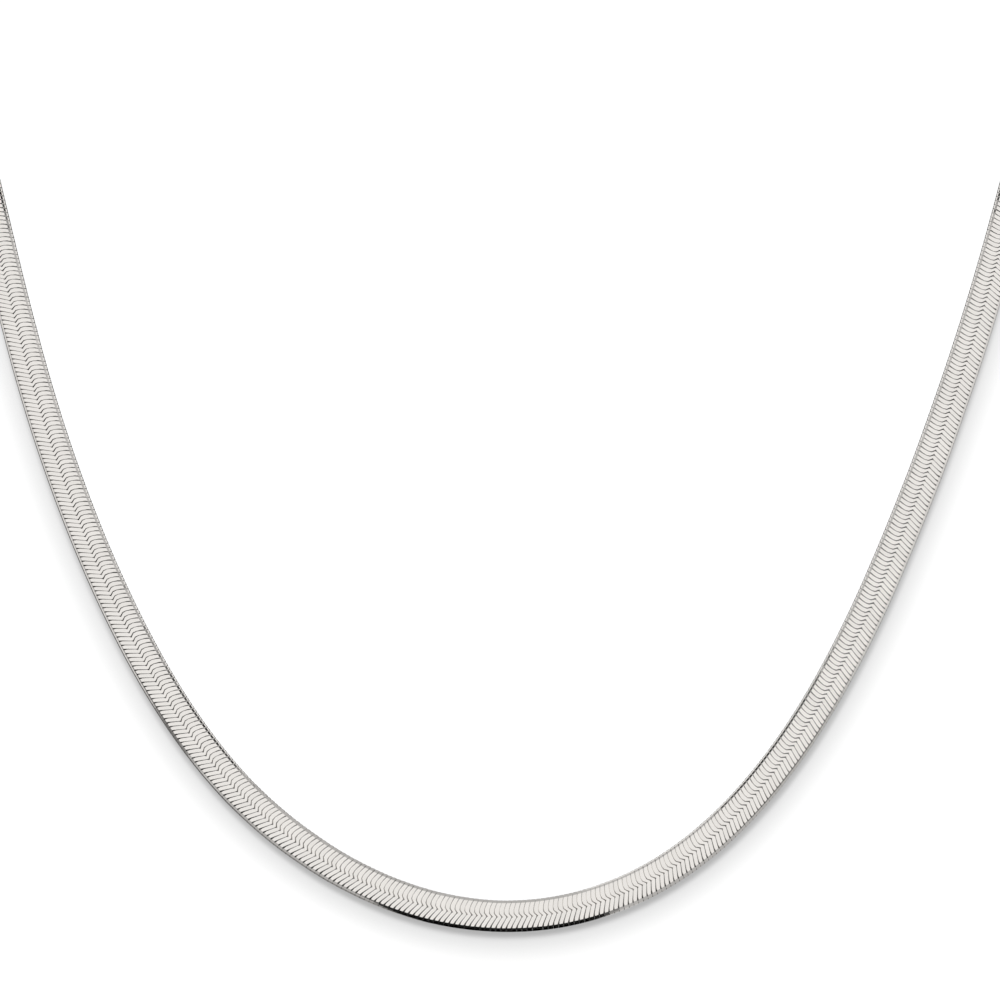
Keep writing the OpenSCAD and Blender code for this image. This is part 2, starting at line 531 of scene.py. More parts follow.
def link_mesh(settings, pitch):
    """One bent link: X forward along the chain, Y to its inner edge, Z out of its face."""
    wide = settings.width / MM / DRAWN_WIDTH
    thick = settings.thickness / MM / DRAWN_THICKNESS
    points = []
    for row, (across, ahead, top, bottom, share, groove) in enumerate(LINK_ROWS):
        length = (pitch - settings.link_gap * groove) / 2 * share / MM
        chamfer = settings.chamfer * groove / MM
        flat = length - chamfer
        low = top - chamfer * (RIM_DROP if row <= CREASES[0] else FACE_DROP)
        front = [(flat, top), (length, low), (length, bottom)]
        for x, z in [(-flat, top), *front, (-length, bottom), (-length, low)]:
            points.append(((ahead + x) * MM, -across * wide * MM, z * thick * MM))
    mesh = mesh_from("herringbone_link", points, tube_faces(len(LINK_ROWS), SECTION_SIDES))

    # Painted shade on the sides of each row, kept apart for the inner half, the kink and the outer half
    marks = []
    for row in range(len(LINK_ROWS) - 1):
        if row < CREASES[0] - 1:
            grooves = INNER_RIM_SHADE_SHARES
        elif row < CREASES[0]:
            grooves = CREASE_SHADE_SHARES
        elif row < CREASES[1]:
            grooves = SECTION_SHADE_SHARES
        else:
            grooves = OUTER_RIM_SHADE_SHARES
        # 0 in the inner half, 1 at the kink and 2 in the outer half
        zone = sum(row >= end for end in KINK)
        marks += [tuple(mark * (zone == i) for i in range(3)) for mark in grooves]
    ends = [(0, 0, 0), (0, 0, 0)]
    mark_corners(mesh, "groove", marks + ends)

    def bends_smoothly(edge):
        """True for the edges of a section between the creases, where a link only bends."""
        first, second = (point.index // SECTION_SIDES for point in edge.verts)
        return first == second and CREASES[0] < first < CREASES[1]

    shade_smooth(mesh, bends_smoothly)
    return mesh


# Half sizes of the strip inside the links
CORE_HALF_WIDTH = 1.66
CORE_HALF_THICKNESS = 0.15


def core_mesh(stations):
    """The links' hidden inner loops: a thin strip that closes the view between them, painted all over
    in the dark groove shade.
    """
    points = []
    for centre, outer, face in stations:
        out, up = outer * CORE_HALF_WIDTH * MM, face * CORE_HALF_THICKNESS * MM
        points += [centre - out - up, centre + out - up, centre + out + up, centre - out + up]
    mesh = mesh_from("herringbone_core", points, tube_faces(len(stations), 4))
    # Painted shade: the whole strip takes the dark groove colour in full
    mark_corners(mesh, "groove", [(1, 1, 1)] * len(mesh.polygons))
    mark_points(mesh, "shade_depth", [(1, 1, 1)] * len(mesh.vertices))
    return mesh


def link_row_tree():
    """Geometry Nodes: copies of one link along a line, each a little off its even place."""
    tree = bpy.data.node_groups.new("herringbone_row", "GeometryNodeTree")
    sockets = {}
    for name, kind, way in (
        ("Geometry", "NodeSocketGeometry", "INPUT"),
        ("Link", "NodeSocketObject", "INPUT"),
        ("Core", "NodeSocketObject", "INPUT"),
        ("Links", "NodeSocketInt", "INPUT"),
        ("Spacing Play", "NodeSocketFloat", "INPUT"),
        ("Tilt Play", "NodeSocketFloat", "INPUT"),
        ("Seed", "NodeSocketInt", "INPUT"),
        ("Silver", "NodeSocketMaterial", "INPUT"),
        ("Geometry", "NodeSocketGeometry", "OUTPUT"),
    ):
        socket = tree.interface.new_socket(name, in_out=way, socket_type=kind)
        sockets[name, way] = socket.identifier
    nodes, links = tree.nodes, tree.links
    given = nodes.new("NodeGroupInput")
    result = nodes.new("NodeGroupOutput")

    line = nodes.new("GeometryNodeMeshToCurve")
    even = nodes.new("GeometryNodeResampleCurve")
    even.mode = "COUNT"
    links.new(given.outputs["Geometry"], line.inputs["Mesh"])
    links.new(line.outputs["Curve"], even.inputs["Curve"])
    links.new(given.outputs["Links"], even.inputs["Count"])

    def random_value(low, high, offset):
        """A random number for each point between two ends, with an offset to the seed."""
        node = nodes.new("FunctionNodeRandomValue")
        node.data_type = "FLOAT"
        ends = [s for s in node.inputs if s.enabled and s.name in ("Min", "Max")]
        for socket, value in zip(ends, (low, high)):
            if hasattr(value, "links"):
                links.new(value, socket)
            else:
                socket.default_value = value
        seed = nodes.new("ShaderNodeMath")
        seed.inputs[1].default_value = offset
        links.new(given.outputs["Seed"], seed.inputs[0])
        links.new(seed.outputs[0], next(s for s in node.inputs if s.enabled and s.name == "Seed"))
        return next(s for s in node.outputs if s.enabled)

    def play(name, offset):
        """A random number between minus and plus a named input."""
        most = given.outputs[name]
        least = nodes.new("ShaderNodeMath")
        least.operation = "MULTIPLY"
        least.inputs[1].default_value = -1
        links.new(most, least.inputs[0])
        return random_value(least.outputs[0], most, offset)

    def stored_vector(name):
        """The vector that the line's points hold under a name."""
        node = nodes.new("GeometryNodeInputNamedAttribute")
        node.data_type = "FLOAT_VECTOR"
        node.inputs["Name"].default_value = name
        return node.outputs["Attribute"]

    tangent = nodes.new("GeometryNodeInputTangent")
    facing = nodes.new("FunctionNodeAxesToRotation")
    facing.primary_axis = "Z"
    facing.secondary_axis = "X"
    links.new(stored_vector("face"), facing.inputs["Primary Axis"])
    links.new(tangent.outputs["Tangent"], facing.inputs["Secondary Axis"])
    tilt = nodes.new("FunctionNodeRotateRotation")
    tilt.rotation_space = "LOCAL"
    euler = nodes.new("ShaderNodeCombineXYZ")
    for axis, offset in (("X", 2), ("Y", 3)):
        links.new(play("Tilt Play", offset), euler.inputs[axis])
    links.new(facing.outputs["Rotation"], tilt.inputs["Rotation"])
    links.new(euler.outputs["Vector"], tilt.inputs["Rotate By"])

    source = nodes.new("GeometryNodeObjectInfo")
    links.new(given.outputs["Link"], source.inputs["Object"])
    row = nodes.new("GeometryNodeInstanceOnPoints")
    links.new(even.outputs["Curve"], row.inputs["Points"])
    links.new(source.outputs["Geometry"], row.inputs["Instance"])
    links.new(tilt.outputs["Rotation"], row.inputs["Rotation"])
    links.new(stored_vector("spread"), row.inputs["Scale"])
    slid = nodes.new("GeometryNodeTranslateInstances")
    slid.inputs["Local Space"].default_value = True
    step = nodes.new("ShaderNodeCombineXYZ")
    links.new(play("Spacing Play", 1), step.inputs["X"])
    links.new(row.outputs["Instances"], slid.inputs["Instances"])
    links.new(step.outputs["Vector"], slid.inputs["Translation"])

    toned = nodes.new("GeometryNodeStoreNamedAttribute")
    toned.data_type = "FLOAT"
    toned.domain = "INSTANCE"
    toned.inputs["Name"].default_value = "tone"
    links.new(slid.outputs["Instances"], toned.inputs["Geometry"])
    links.new(random_value(0.0, 1.0, 4), toned.inputs["Value"])

    core = nodes.new("GeometryNodeObjectInfo")
    links.new(given.outputs["Core"], core.inputs["Object"])
    joined = nodes.new("GeometryNodeJoinGeometry")
    links.new(toned.outputs["Geometry"], joined.inputs["Geometry"])
    links.new(core.outputs["Geometry"], joined.inputs["Geometry"])
    real = nodes.new("GeometryNodeRealizeInstances")
    painted = nodes.new("GeometryNodeSetMaterial")
    links.new(joined.outputs["Geometry"], real.inputs["Geometry"])
    links.new(real.outputs["Geometry"], painted.inputs["Geometry"])
    links.new(given.outputs["Silver"], painted.inputs["Material"])
    links.new(painted.outputs["Geometry"], result.inputs["Geometry"])
    return tree, sockets


class NECKLACE_OT_chain(bpy.types.Operator):
    """Build the row of nested links along the loop"""

    bl_idname = "necklace.chain"
    bl_label = "Chain"

    def execute(self, context):
        settings = context.scene.necklace_chain
        route = worn_route(context.scene)
        reach = settings.loop_length / 2 - settings.end_at
        pitch = 2 * reach / (settings.link_count + 1)
        last = reach - pitch
        # places of the line that the links follow, from the first link to the last
        count = 2 * len(ROUTE) * STEPS_PER_SPAN
        places = [last * (2 * i / count - 1) for i in range(count + 1)]
        stations, spreads = [], []
        for s in places:
            centre, outer, face = route.station(s)
            shift, share = between(LINE_PLAY, s / MM)
            stations.append((centre + outer * shift * MM, outer, face))
            spreads.append((1, share, 1))
        mesh = bpy.data.meshes.new("link_line")
        mesh.from_pydata([s[0] for s in stations], [(i, i + 1) for i in range(count)], [])
        mark_points(mesh, "face", [station[2] for station in stations])
        # How strong the painted groove shade is at each place along the line
        mark_points(mesh, "shade_depth", [between(GROOVE_SHADE_DEPTH, s / MM) for s in places])
        mark_points(mesh, "spread", spreads)
        line = new_object("link_line", mesh)
        link = new_object("herringbone_link", link_mesh(settings, pitch))
        # the core bends as softly with half of the stations
        core = new_object("herringbone_core", core_mesh(stations[::2]))

        tree, sockets = link_row_tree()
        modifier = line.modifiers.new("Links", "NODES")
        modifier.node_group = tree
        silver = silver_material("chain_silver", context.scene.necklace_silver, with_groove_shade=True)
        for name, value in (
            ("Link", link),
            ("Core", core),
            ("Links", settings.link_count),
            ("Spacing Play", settings.spacing_play),
            ("Tilt Play", settings.tilt_play),
            ("Seed", settings.seed),
            ("Silver", silver),
        ):
            modifier[sockets[name, "INPUT"]] = value
        line.update_tag()
        chain = new_object("herringbone_links", plain_mesh(line, "herringbone_links"))
        bpy.data.objects.remove(link)
        bpy.data.objects.remove(core)
        if not chain.data.polygons:
            raise RuntimeError("the chain has no links")
        for name in ("face", "spread"):
            chain.data.attributes.remove(chain.data.attributes[name])
        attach(chain, "root")
        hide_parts("herringbone_chain")
        return {"FINISHED"}


# Caps and clasp

# Angles in radians of the rings that round a wire's end, and the sharpest smooth edge
END_ROUNDING = (0.35, 0.75, 1.1, 1.45)
SMOOTH_BELOW = math.radians(38)


class Silverwork:
    """Collects closed shells, drawn in mm round the clasp with X across and Z out of the face."""

    def __init__(self, hook_wire):
        self.lift = hook_wire / 2
        self.points = []
        self.faces = []

    def tube(self, rings, closed=False):
        """A tube through rings of points: a loop, or with both ends closed."""
        sides, start = len(rings[0]), len(self.points)
        for ring in rings:
            self.points += [Vector(p) for p in ring]
        if not closed:
            self.faces += [tuple(i + start for i in face) for face in tube_faces(len(rings), sides)]
            return
        for r in range(len(rings)):
            for k in range(sides):
                a, b = r * sides, (r + 1) % len(rings) * sides
                j = (k + 1) % sides
                self.faces.append((start + a + k, start + a + j, start + b + j, start + b + k))

    def wire(self, path, radii, sides=14):
        """A round wire in the XY plane through a path, with rounded ends."""
        path = [Vector((x, y, 0)) for x, y in path]
        last = len(path) - 1
        rings = []
        for i, (point, radius) in enumerate(zip(path, radii)):
            way = (path[min(i + 1, last)] - path[max(i - 1, 0)]).normalized()
            side = Vector((-way.y, way.x, 0))
            turns = [0.0]
            if i == 0:
                turns = [-a for a in reversed(END_ROUNDING)] + turns
            elif i == last:
                turns = turns + list(END_ROUNDING)
            for a in turns:
                centre = point + way * radius * math.sin(a)
                rings.append(circle(centre, side, AXIS_Z, radius * math.cos(a), sides))
        self.tube(rings)

    def ring(self, centre, bore, wire, standing, turns=40, sides=14):
        """A closed wire ring, lying flat or standing on edge."""
        second, over = (AXIS_Z, AXIS_Y) if standing else (AXIS_Y, AXIS_Z)
        rings = []
        for i in range(turns):
            a = math.tau * i / turns
            out = AXIS_X * math.cos(a) + second * math.sin(a)
            middle = Vector(centre) + out * (bore + wire) / 2
            rings.append(circle(middle, out, over, wire / 2, sides))
        self.tube(rings, closed=True)

    def finished(self, name, silver):
        """The finished piece, with its place at the nape in its mesh."""
        place = Matrix.Rotation(-FRONT_LEAN, 4, "X") @ Matrix.Translation((0, 0, self.lift))
        mesh = mesh_from(name, [(place @ p) * MM for p in self.points], self.faces)
        shade_smooth(mesh, lambda edge: edge.calc_face_angle(0) < SMOOTH_BELOW)
        mesh.materials.append(silver)
        return new_object(name, mesh)


def rounded_section(x, half_width, half_thick, radius, steps=4):
    """A rounded rectangle across X."""
    points = []
    for sy, sz, start in ((1, 1, 0), (-1, 1, 90), (-1, -1, 180), (1, -1, 270)):
        for i in range(steps + 1):
            a = math.radians(start + 90 * i / steps)
            y = sy * (half_width - radius) + radius * math.cos(a)
            z = sz * (half_thick - radius) + radius * math.sin(a)
            points.append((x, y, z))
    return points


# A cap's shoulder from the tip: distance from the tip, half width, half thickness and
# corner radius. Its corner, a distance and half width, and its end have the thickness of
# the body, which runs to a raised lip round the mouth.
CAP_SHOULDER = (
    (0.00, 0.55, 0.45, 0.25),
    (0.05, 0.68, 0.60, 0.33),
    (0.14, 0.80, 0.68, 0.38),
    (0.40, 1.30, 0.76, 0.42),
    (0.75, 1.80, 0.81, 0.44),
    (1.15, 2.20, 0.84, 0.45),
)
SHOULDER_CORNER = (1.50, 2.40)
SHOULDER_END = 1.85
LIP_LENGTH = 0.62
LIP_RISE = 0.08
EDGE_ROUND = 0.07
BODY_ROUND = 0.46
LIP_ROUND = 0.5
MOUTH_ROUND = 0.3
POCKET_ROUND = 0.25
# Drop of solder where the ring meets the tip: distance from the tip and half width, then
# shares of that for its half thickness and its corners
SOLDER_DROP = ((-0.34, 0.12), (-0.28, 0.30), (-0.12, 0.46), (0.05, 0.54), (0.20, 0.56))
SOLDER_THICKNESS = 0.95
SOLDER_ROUND = 0.9


def cap_profile(length, width, thick, wall, pocket):
    """Sections of a cap from its tip, over its lip and down into its pocket."""
    body_width, body_thick = width - LIP_RISE, thick - LIP_RISE
    pocket_width, pocket_thick = width - wall, thick - wall
    lip = length - LIP_LENGTH
    return (
        *CAP_SHOULDER,
        (*SHOULDER_CORNER, body_thick, BODY_ROUND),
        (SHOULDER_END, body_width, body_thick, BODY_ROUND),
        (lip - EDGE_ROUND, body_width, body_thick, BODY_ROUND),
        (lip, width, thick, LIP_ROUND),
        (length - EDGE_ROUND, width, thick, LIP_ROUND),
        (length, width - EDGE_ROUND, thick - EDGE_ROUND, BODY_ROUND),
        (length, pocket_width + EDGE_ROUND, pocket_thick + EDGE_ROUND, MOUTH_ROUND),
        (length - EDGE_ROUND, pocket_width, pocket_thick, POCKET_ROUND),
        (length - pocket, pocket_width, pocket_thick, POCKET_ROUND),
    )


class NECKLACE_OT_end_caps(bpy.types.Operator):
    """Build the two end caps with their soldered rings"""

    bl_idname = "necklace.end_caps"
    bl_label = "End Caps"

    def execute(self, context):
        scene = context.scene
        chain, sizes = scene.necklace_chain, scene.necklace_findings
        silver = silver_material("cap_silver", scene.necklace_silver, with_groove_shade=False)
        wall, gap, pocket = sizes.cap_wall / MM, sizes.pocket_gap / MM, sizes.pocket / MM
        width = chain.width / MM / 2 + gap + wall
        thick = chain.thickness / MM / 2 + gap + wall
        wire, bore = sizes.ring_wire / MM, sizes.ring_bore / MM
        length = sizes.cap_length / MM
        tip = chain.end_at / MM + pocket - gap - length
        ring_x = tip - (bore + wire) / 2
        profile = cap_profile(length, width, thick, wall, pocket)
        for side, node in ((-1, "end_cap_left"), (1, "end_cap_right")):
            work = Silverwork(sizes.hook_wire / MM)
            work.tube([rounded_section(side * (tip + x), w, t, r) for x, w, t, r in profile])
            work.ring((side * ring_x, 0, 0), bore, wire, standing=True)
            drop = [
                rounded_section(side * (tip + x), r, r * SOLDER_THICKNESS, r * SOLDER_ROUND)
                for x, r in SOLDER_DROP
            ]
            work.tube(drop)
            cap = work.finished(node.replace("end_cap", "silver_cap"), silver)
            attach(cap, "root")
            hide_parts(node)
        return {"FINISHED"}


# Where the hook's wire ends, at the hinge and at the gate's seat, in degrees, and the
# share of its length from which it tapers towards the seat, and by how much
HINGE_ANGLE = 262
SEAT_ANGLE = -86
HOOK_TAPER_FROM = 0.72
HOOK_TAPER = 0.16
# The gate's reach past the middles of the hook's two turns, its taper and its steps
GATE_REACH = 0.1
GATE_TAPER = 0.12
GATE_STEPS = 12
# The hinge pin's place past the middle of the hook's back turn, and its end: height, radius
PIN_SHIFT = 0.15
PIN_ROWS = ((0.40, 0.34), (0.70, 0.34), (0.745, 0.30), (0.75, 0.20))
# The thumb tab: height and share of its radius
TAB_ROWS = ((-0.35, 0.72), (-0.31, 0.9), (-0.18, 1.0), (0.18, 1.0), (0.31, 0.9), (0.35, 0.72))


def arc(x, radius, start, end, steps=18):
    """Points of an arc round a centre on the X axis, between two angles in degrees."""
    angles = [math.radians(start + (end - start) * i / steps) for i in range(steps + 1)]
    return [(x + radius * math.cos(a), radius * math.sin(a)) for a in angles]


class NECKLACE_OT_clasp(bpy.types.Operator):
    """Build the hook clasp, closed, with its gate, thumb tab and eye"""

    bl_idname = "necklace.clasp"
    bl_label = "Clasp"

    def execute(self, context):
        scene = context.scene
        sizes = scene.necklace_findings
        silver = silver_material("clasp_silver", scene.necklace_silver, with_groove_shade=False)
        hook, gate = sizes.hook_wire / MM, sizes.gate_wire / MM
        eye, eye_wire = sizes.eye / MM, sizes.eye_wire / MM
        half_length, half_width = sizes.clasp_length / MM / 2, sizes.clasp_width / MM / 2
        middle_x = (hook - eye_wire) / 2
        turn = half_width - hook / 2
        tail_x = middle_x - half_length
        back_x = tail_x + eye - eye_wire + half_width
        front_x = middle_x + half_length - half_width

        # from the hinge round the back, along the spine and round the nose to the gate's seat
        work = Silverwork(hook)
        path = arc(back_x, turn, HINGE_ANGLE, 90) + arc(front_x, turn, 90, SEAT_ANGLE)
        radii = []
        for i in range(len(path)):
            past = i / (len(path) - 1) - HOOK_TAPER_FROM
            radii.append(hook / 2 * (1 - HOOK_TAPER * max(0.0, past / (1 - HOOK_TAPER_FROM))))
        work.wire(path, radii, sides=18)
        # gate, a little thicker at its hinge
        shares = [i / GATE_STEPS for i in range(GATE_STEPS + 1)]
        start_x, reach = back_x - GATE_REACH, front_x - back_x + 2 * GATE_REACH
        gate_path = [(start_x + reach * share, -turn) for share in shares]
        work.wire(gate_path, [gate / 2 * (1 - GATE_TAPER * share) for share in shares])
        # both ends of the hinge pin, through the end of the hook
        pin = Vector((back_x + PIN_SHIFT, -turn, 0))
        for side in (-1, 1):
            work.tube([circle(pin + AXIS_Z * side * z, AXIS_X, AXIS_Y, r, 16) for z, r in PIN_ROWS])
        # thumb tab, a small pillow on the gate
        tab = sizes.tab / MM / 2
        centre = Vector((back_x + tab, -turn - gate / 2, 0))
        work.tube([circle(centre + AXIS_Z * z, AXIS_X, AXIS_Y, tab * r, 24) for z, r in TAB_ROWS])
        work.ring((tail_x + eye / 2, 0, 0), eye - 2 * eye_wire, eye_wire, standing=False)
        clasp = work.finished("hook_clasp", silver)
        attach(clasp, "root")
        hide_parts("clasp")
        return {"FINISHED"}


# Stage

# The floor's half width in metres and its matt grey
FLOOR_HALF = 40
FLOOR_COLOUR = (0.42, 0.42, 0.42, 1)
FLOOR_ROUGHNESS = 0.9
WHITE = (1, 1, 1, 1)


def floor_material():
    """A matt grey that mirrors nothing."""
    material = bpy.data.materials.new("floor")
    material.use_nodes = True
    shader = material.node_tree.nodes["Principled BSDF"]
    shader.inputs["Base Color"].default_value = FLOOR_COLOUR
    shader.inputs["Roughness"].default_value = FLOOR_ROUGHNESS
    shader.inputs["Specular IOR Level"].default_value = 0.0
    return material


def attribute_material(name, attribute, shader_kind, socket):
    """A shader whose one input follows an attribute of the mesh."""
    material = bpy.data.materials.new(name)
    material.use_nodes = True
    tree = material.node_tree
    tree.nodes.clear()
    shader = tree.nodes.new(shader_kind)
    value = tree.nodes.new("ShaderNodeAttribute")
    value.attribute_name = attribute
    out = tree.nodes.new("ShaderNodeOutputMaterial")
    tree.links.new(value.outputs["Fac"], shader.inputs[socket])
    tree.links.new(shader.outputs[0], out.inputs["Surface"])
    return material


def staged(name, points, faces, attribute, values, material):
    """A stage object that the camera doesn't see, with one number per point."""
    mesh = mesh_from(name, points, faces)
    stored = mesh.attributes.new(attribute, "FLOAT", "POINT")
    for datum, value in zip(stored.data, values):
        datum.value = value
    mesh.materials.append(material)
    obj = new_object(name, mesh)
    obj.visible_camera = obj.visible_diffuse = False
    obj.visible_transmission = obj.visible_volume_scatter = False
    obj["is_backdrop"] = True
    return obj


# The studio as the silver reflects it, all white but for these cards: name, tone, softness
# of the card's border, and rows of elevation, left and right border, in degrees.
# Azimuths go from the front towards the right. A later card covers an earlier one.
ROOM_CARDS = (
    ("behind_middle", 0.92, 6, ((26, 100, 262), (48, 100, 262))),
    ("behind_high", 0.55, 4, ((50, 76, 284), (80, 76, 284))),
    (
        "behind_grey", 0.50, 2.5,
        ((28, 131, 194), (45, 131, 194), (54, 112, 198), (60, 101, 200), (80, 100, 205)),
    ),
    ("slit_left", 0.0, 1, ((54, 88, 101), (70, 88, 102))),
    ("slit_right", 0.0, 1, ((53, 252, 269), (71, 251, 269))),
    ("behind_low", 0.25, 4, ((-24, 134, 226), (8, 134, 226))),
    ("wall_left", 0.30, 4, ((-56, 184, 212), (-18, 184, 212))),
    ("wall_right", 0.42, 4, ((-54, 148, 180), (-18, 148, 180))),
    ("side_left", 0.80, 8, ((-5, -100, -60), (42, -86, -50))),
    ("side_right", 0.75, 8, ((-5, 60, 96), (42, 50, 90))),
    (
        "grey_left", 0.50, 4,
        ((-16, -60, -26), (0, -58, -25), (8, -62, -23), (20, -66, -21), (28, -68, -20), (40, -78, -19)),
    ),
    (
        "rim_left", 0.18, 4,
        ((-52, -114, -98), (-40, -118, -98), (-32, -126, -100), (-14, -142, -118)),
    ),
    (
        "rim_low_left", 0.24, 4,
        ((-68, -100, -70), (-59, -98, -79), (-47, -110, -88), (-40, -108, -92)),
    ),
    (
        "streak_left", 0.15, 2,
        ((-42, -120, -104), (-30, -118, -104), (0, -70, -62), (6, -69, -62), (33, -53, -45)),
    ),
    ("grey_right", 0.50, 4, ((-16, 22, 60), (-6, 21, 64), (8, 19, 71), (16, 18, 46), (36, 17, 40))),
    ("streak_right", 0.12, 2, ((16, 33, 44), (26, 42.5, 51.5), (33, 49, 55))),
    (
        "rim_right", 0.48, 4,
        ((-68, 72, 100), (-54, 80, 108), (-43, 92, 118), (-30, 106, 134), (-16, 118, 146)),
    ),
    ("dark_below", 0.0, 2, ((-90, 110, 250), (-57, 110, 250))),
    ("dark_front_high", 0.0, 1, ((8, -25, 19.5), (15, -24, 18.5), (20, -23.5, 18))),
    ("dark_front_low", 0.0, 1, ((-19, -35.5, 30), (-12, -31, 25.5), (-6, -28.5, 23))),
    ("dark_front_floor", 0.0, 1, ((-90, -120, 120), (-66, -81, 75), (-50, -61, 56))),
)
# Radius of the reflected room in metres, and the step of its mesh in degrees
ROOM_RADIUS = 15.0
ROOM_STEP = 2


def soft_step(distance, softness):
    """From 0 well outside a border to 1 well inside it."""
    t = min(max(0.5 + distance / softness / 2, 0.0), 1.0)
    return t * t * (3 - 2 * t)


def card_cover(rows, softness, azimuth, elevation):
    """How much of a card lies in a direction, from 0 to 1."""
    low, high = rows[0][0], rows[-1][0]
    cover = soft_step(elevation - low, softness) * soft_step(high - elevation, softness)
    left, right = between(rows, elevation)
    off = (azimuth - (left + right) / 2 + 180) % 360 - 180
    return cover * soft_step((right - left) / 2 - abs(off), softness)


def room_tone(azimuth, elevation, sky):
    """Brightness of the reflected room in a direction."""
    tone = sky
    for _, card_tone, softness, rows in ROOM_CARDS:
        tone += (card_tone - tone) * card_cover(rows, softness, azimuth, elevation)
    return tone


def reflected_room(centre, sky):
    """A wide sphere round the necklace that only reflections see."""
    columns, rows = 360 // ROOM_STEP, 180 // ROOM_STEP
    bottom, top = centre - AXIS_Z * ROOM_RADIUS, centre + AXIS_Z * ROOM_RADIUS
    points, tones, faces = [bottom], [room_tone(0, -90, sky)], []
    for r in range(1, rows):
        elevation = r * ROOM_STEP - 90
        flat, rise = math.cos(math.radians(elevation)), math.sin(math.radians(elevation))
        for c in range(columns):
            turn = math.radians(c * ROOM_STEP)
            way = Vector((math.sin(turn) * flat, -math.cos(turn) * flat, rise))
            points.append(centre + way * ROOM_RADIUS)
            tones.append(room_tone(c * ROOM_STEP, elevation, sky))
    points.append(top)
    tones.append(room_tone(0, 90, sky))
    highest = len(points) - 1
    for c in range(columns):
        d = (c + 1) % columns
        faces.append((0, 1 + c, 1 + d))
        for r in range(rows - 2):
            a = 1 + r * columns
            faces.append((a + c, a + columns + c, a + columns + d, a + d))
        last = highest - columns
        faces.append((last + c, highest, last + d))
    glow = attribute_material("reflected_room", "tone", "ShaderNodeEmission", "Strength")
    room = staged("reflected_room", points, faces, "tone", tones, glow)
    room.visible_shadow = False


# Light that the shade flag lets through, by the distance in mm past the chain's edge
SHADE = (
    (-1.00, 0.10),
    (0.10, 0.13),
    (0.26, 0.15),
    (0.38, 0.20),
    (0.50, 0.27),
    (0.64, 0.36),
    (0.77, 0.46),
    (0.90, 0.54),
    (1.02, 0.60),
    (1.28, 0.65),
    (1.55, 0.68),
    (1.80, 0.71),
    (2.20, 0.76),
    (2.80, 0.83),
    (3.60, 0.92),
    (4.40, 1.00),
)
# How far the shade lies off the band's own edge as the camera sees it, across and up, in mm
SHADE_SHIFT = (0.06, -0.07)
# How far the shade creeps inwards up the sides: this many mm at this many mm from the
# middle of the front, by this power of the distance
SHADE_CREEP = 0.17
SHADE_CREEP_AT = 50
SHADE_CREEP_POWER = 1.5
# How strong the shade is along the chain: distance from the middle of the front in mm, share
SHADE_STRENGTH = (
    (-140, 0.90),
    (-70, 0.91),
    (-45, 0.95),
    (-20, 1.0),
    (12, 1.0),
    (45, 0.965),
    (100, 0.965),
    (140, 0.95),
)
# Places along the chain at which the flag is drawn, and its height towards the lamp in mm
FLAG_STATIONS = 240
FLAG_LIFT = 12


def shade_flag(route, half_length, edge, eye, axes, floor_z):
    """Shades the floor just past the chain's outer edge, as the camera sees it."""
    across, over, ahead = axes
    shift = (across * SHADE_SHIFT[0] + over * SHADE_SHIFT[1]) * MM
    points, faces, values = [], [], []
    rows = len(SHADE)
    for i in range(FLAG_STATIONS):
        s = half_length * (2 * i / (FLAG_STATIONS - 1) - 1)
        centre, outer, _ = route.station(s)
        creep = SHADE_CREEP * (abs(s) / MM / SHADE_CREEP_AT) ** SHADE_CREEP_POWER
        play = between(LINE_PLAY, s / MM)[0]
        strength = between(SHADE_STRENGTH, s / MM)[0]
        for past, through in SHADE:
            view = centre + outer * (edge + (past - creep + play) * MM) + shift - eye
            on_floor = eye + view * ((floor_z - eye.z) / view.z)
            points.append(on_floor - ahead * FLAG_LIFT * MM)
            values.append(1 - (1 - through) * strength)
    for i in range(FLAG_STATIONS - 1):
        for k in range(rows - 1):
            a = i * rows + k
            faces.append((a, a + 1, a + rows + 1, a + rows))
    veil = attribute_material("shade_veil", "through", "ShaderNodeBsdfTransparent", "Color")
    flag = staged("shade_flag", points, faces, "through", values, veil)
    flag.visible_glossy = False
    return flag


def view_axes(settings):
    """The camera's directions: across and up its picture, and ahead."""
    tilt, roll = settings.camera_elevation, settings.camera_roll
    ahead = Vector((0, math.cos(tilt), -math.sin(tilt)))
    up = Vector((0, math.sin(tilt), math.cos(tilt)))
    across = AXIS_X * math.cos(roll) + up * math.sin(roll)
    over = up * math.cos(roll) - AXIS_X * math.sin(roll)
    return across, over, ahead


def add_camera(scene, lens, eye, turned):
    """The camera at a point, turned as a matrix says."""
    data = bpy.data.cameras.new("camera")
    data.lens = lens
    data.sensor_width = 36
    data.clip_start = 0.01
    data.clip_end = 100
    camera = new_object("camera", data)
    camera.matrix_world = Matrix.Translation(eye) @ turned
    scene.camera = camera


def add_floor(z):
    """A wide matt floor that reflections don't see."""
    corners = [(x * FLOOR_HALF, y * FLOOR_HALF, z) for x, y in ((-1, -1), (1, -1), (1, 1), (-1, 1))]
    floor = new_object("floor", mesh_from("floor", corners, [(0, 1, 2, 3)]))
    floor.data.materials.append(floor_material())
    floor.visible_glossy = False
    floor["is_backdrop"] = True
    return floor


def add_sky(scene, strength):
    """Soft light all round, and a plain white backdrop for the camera."""
    world = bpy.data.worlds.new("soft_light")
    scene.world = world
    world.use_nodes = True
    tree = world.node_tree
    sky = tree.nodes["Background"]
    sky.inputs["Color"].default_value = WHITE
    sky.inputs["Strength"].default_value = strength
    backdrop = tree.nodes.new("ShaderNodeBackground")
    backdrop.inputs["Color"].default_value = WHITE
    path = tree.nodes.new("ShaderNodeLightPath")
    shown = tree.nodes.new("ShaderNodeMixShader")
    tree.links.new(path.outputs["Is Camera Ray"], shown.inputs["Fac"])
    tree.links.new(sky.outputs["Background"], shown.inputs[1])
    tree.links.new(backdrop.outputs["Background"], shown.inputs[2])
    tree.links.new(shown.outputs["Shader"], tree.nodes["World Output"].inputs["Surface"])


